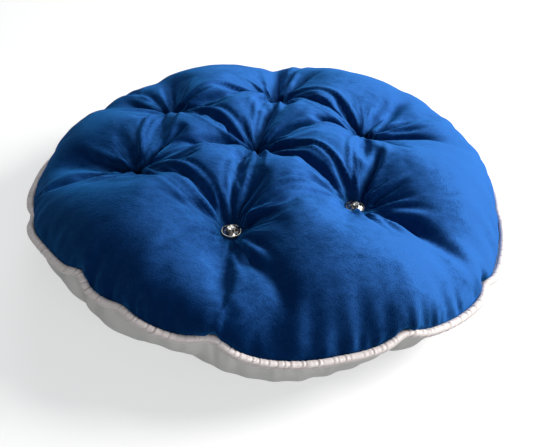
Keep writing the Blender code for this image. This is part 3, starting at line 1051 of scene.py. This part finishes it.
def make_piping():
    """A tube carried along the seam. Its radius is the piping's, plus a ridge or less a furrow at each
    small gather, and the gathers slant across it."""
    cord = sizes().piping_radius
    count, around = 2200, 20
    seam = smooth_ring(STATE["seam"], 1.0)
    old = np.linspace(0, 1, len(seam) + 1)
    new = np.arange(count) / count
    closed = np.concatenate([seam, seam[:1]])
    seam = smooth_ring(np.stack([np.interp(new, old, column) for column in closed.T], 1), 4.0)
    out = seam * (1, 1, 0)
    out /= np.linalg.norm(out, axis=1)[:, None]
    along = np.roll(seam, -1, 0) - np.roll(seam, 1, 0)
    step = np.linalg.norm(along, axis=1) / 2
    along /= np.linalg.norm(along, axis=1)[:, None]
    out -= (out * along).sum(1)[:, None] * along
    out /= np.linalg.norm(out, axis=1)[:, None]
    up = np.cross(along, out)
    length = step.sum()
    at = np.concatenate([[0], np.cumsum(step)[:-1]])
    random = np.random.default_rng(11)
    gathers = np.cumsum(random.gamma(4.0, 1.45 * MM, 600))
    gathers = gathers[gathers < length - 4 * MM]
    fine = np.linspace(0, length, 12000)
    relief = np.zeros(len(fine))
    for place in gathers:
        deep, wide = random.uniform(0.3, 1.0), random.uniform(0.6, 1.3) * MM
        away = (fine - place) / wide
        relief += deep * (np.exp(-((away - 1.2) ** 2)) * 0.7 - np.exp(-(away**2)))
    turn = np.arange(around) / around * math.tau
    where = at[:, None] + GATHER_SLANT * np.sin(turn) + GATHER_WAVE * np.sin(3 * turn)
    lift = np.interp(where % length, fine, relief)
    radius = cord + GATHER_HEIGHT * lift
    middle = seam + out * (cord + PIPING_GAP)
    outward = (radius * np.cos(turn))[:, :, None] * out[:, None, :]
    upward = (radius * np.sin(turn))[:, :, None] * up[:, None, :]
    points = middle[:, None, :] + outward + upward
    uv = np.stack([np.repeat(at, around), np.tile(turn * cord, count)], 1)
    piece = new_mesh(
        "piping", points.reshape(-1, 3), grid_faces(count, around)[:, ::-1], satin_finish(), uv
    )
    # The fold attribute is painted shade for the satin: low in the furrow of each gather.
    fold = piece.data.attributes.new("fold", "FLOAT", "POINT")
    fold.data.foreach_set("value", np.clip(0.6 + 0.5 * lift, 0, 1).astype(np.float32).ravel())
    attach(piece, "root")
    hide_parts("piping_cover", "piping_cord", "seam_thread_upper", "seam_thread_lower")


# ---------------------------------------------------------------- buttons and twine


def dress(prefix, material):
    """Gives every CAD piece whose name starts this way its finish."""
    for name, node in frame["nodes"].items():
        if name.startswith(prefix):
            node.data.materials.clear()
            node.data.materials.append(material)


# ---------------------------------------------------------------- floor, light and camera


FLOOR_SIDE = 24.0
FLOOR_GLOW = 0.52
# Soft lights: (name, place, aim, width, power in watts, colour)
LIGHTS = (
    ("window", (1.35, 0.25, 0.95), (0.0, 0.0, 0.10), 0.8, 43, (1.00, 0.99, 0.97)),
    ("sky", (-0.20, 2.20, 1.60), (0.0, 0.0, 0.10), 1.6, 20, (0.95, 0.98, 1.00)),
    ("bounce", (0.90, -2.00, 1.00), (0.0, 0.0, 0.05), 1.6, 19, (0.97, 0.98, 1.00)),
)
CAMERA_LENS = 40.3  # millimetres, on a 36 mm sensor
CAMERA_TILT, CAMERA_ROLL = math.radians(37.47), math.radians(2.77)
CAMERA_AIM = Vector((-0.0008, -0.0813, SEAM_HEIGHT))
CAMERA_DISTANCE = 0.6467


def area_light(name, place, aim, width, power, colour):
    """A round soft light at this place, turned towards the aim."""
    data = bpy.data.lights.new(name, "AREA")
    data.shape = "DISK"
    data.size = width
    data.energy = power
    data.color = colour
    light = bpy.data.objects.new(name, data)
    bpy.context.scene.collection.objects.link(light)
    light.location = place
    light.rotation_euler = (Vector(aim) - Vector(place)).to_track_quat("-Z", "Y").to_euler()


def make_floor():
    """A plain pale floor that glows a little, with its glow kept off the cushion."""
    f = Finish("pale_floor")
    clouds = f.noise(f.place(), 0.4, 2.0)
    pale = f.mix(clouds, (0.50, 0.50, 0.50), (0.52, 0.52, 0.52))
    f.set(Base_Color=pale, Roughness=0.9, Emission_Color=(1.0, 1.0, 1.0), Emission_Strength=FLOOR_GLOW)
    half = FLOOR_SIDE / 2
    corners = [(-half, -half, 0), (half, -half, 0), (half, half, 0), (-half, half, 0)]
    floor = new_mesh("floor", corners, [(0, 1, 2, 3)], f.material, smooth=False)
    floor.visible_diffuse = False


def make_stage():
    """The floor, the sky's even light, the soft lights and a camera that looks down at the cushion."""
    make_floor()
    scene = bpy.context.scene
    world = bpy.data.worlds.new("studio")
    scene.world = world
    world.use_nodes = True
    background = world.node_tree.nodes["Background"]
    background.inputs["Color"].default_value = (0.93, 0.96, 1.0, 1.0)
    background.inputs["Strength"].default_value = 0.26
    for light in LIGHTS:
        area_light(*light)
    camera = bpy.data.cameras.new("camera")
    camera.sensor_width = 36.0
    camera.lens = CAMERA_LENS
    view = bpy.data.objects.new("camera", camera)
    scene.collection.objects.link(view)
    scene.camera = view
    back = Vector((0, -math.cos(CAMERA_TILT), math.sin(CAMERA_TILT)))
    right = Vector((1, 0, 0))
    turned = Matrix((right, back.cross(right), back)).transposed().to_4x4()
    place = Matrix.Translation(CAMERA_AIM + back * CAMERA_DISTANCE)
    view.matrix_world = place @ turned @ Matrix.Rotation(CAMERA_ROLL, 4, "Z")
    scene.view_settings.view_transform = "Standard"


# ---------------------------------------------------------------- operators, panel and run


class CUSHION_OT_covers(bpy.types.Operator):
    """Stuff and tie the velvet cover and the cotton underside"""

    bl_idname = "cushion.covers"
    bl_label = "Covers"

    def execute(self, context):
        make_covers()
        return {"FINISHED"}


class CUSHION_OT_piping(bpy.types.Operator):
    """Carry the gathered satin piping round the seam"""

    bl_idname = "cushion.piping"
    bl_label = "Piping"

    def execute(self, context):
        make_piping()
        return {"FINISHED"}


class CUSHION_OT_buttons(bpy.types.Operator):
    """Finish the crystals, their settings, the back buttons and the twine"""

    bl_idname = "cushion.buttons"
    bl_label = "Buttons"

    def execute(self, context):
        dress("crystal_", crystal_finish())
        dress("crystal_setting_", metal_finish())
        dress("back_button_", shell_finish())
        dress("tufting_twine_", twine_finish())
        return {"FINISHED"}


class CUSHION_OT_stage(bpy.types.Operator):
    """Set the floor, the lights and the camera"""

    bl_idname = "cushion.stage"
    bl_label = "Stage"

    def execute(self, context):
        make_stage()
        return {"FINISHED"}


OPERATORS = (CUSHION_OT_covers, CUSHION_OT_piping, CUSHION_OT_buttons, CUSHION_OT_stage)


class CUSHION_PT_panel(bpy.types.Panel):
    """The cushion's steps, in order"""

    bl_idname = "CUSHION_PT_panel"
    bl_label = "Tufted cushion"
    bl_space_type = "VIEW_3D"
    bl_region_type = "UI"
    bl_category = "Cushion"

    def draw(self, context):
        for operator in OPERATORS:
            self.layout.operator(operator.bl_idname)
        for group in (context.scene.cushion_sizes, context.scene.cushion_colours):
            for name in group.bl_rna.properties.keys():
                if name not in {"rna_type", "name"}:
                    self.layout.prop(group, name)


CLASSES = (CushionSizes, CushionColours, *OPERATORS, CUSHION_PT_panel)


def register():
    for item in CLASSES:
        bpy.utils.register_class(item)
    bpy.types.Scene.cushion_sizes = PointerProperty(type=CushionSizes)
    bpy.types.Scene.cushion_colours = PointerProperty(type=CushionColours)


def unregister():
    del bpy.types.Scene.cushion_colours
    del bpy.types.Scene.cushion_sizes
    for item in reversed(CLASSES):
        bpy.utils.unregister_class(item)


def main():
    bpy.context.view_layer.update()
    for item in bpy.data.objects:
        if item.type in {"LIGHT", "CAMERA"} or item.name == "Cube":
            bpy.data.objects.remove(item)
    register()
    bpy.ops.cushion.covers()
    bpy.ops.cushion.piping()
    bpy.ops.cushion.buttons()
    bpy.ops.cushion.stage()


if __name__ == "__main__":
    main()
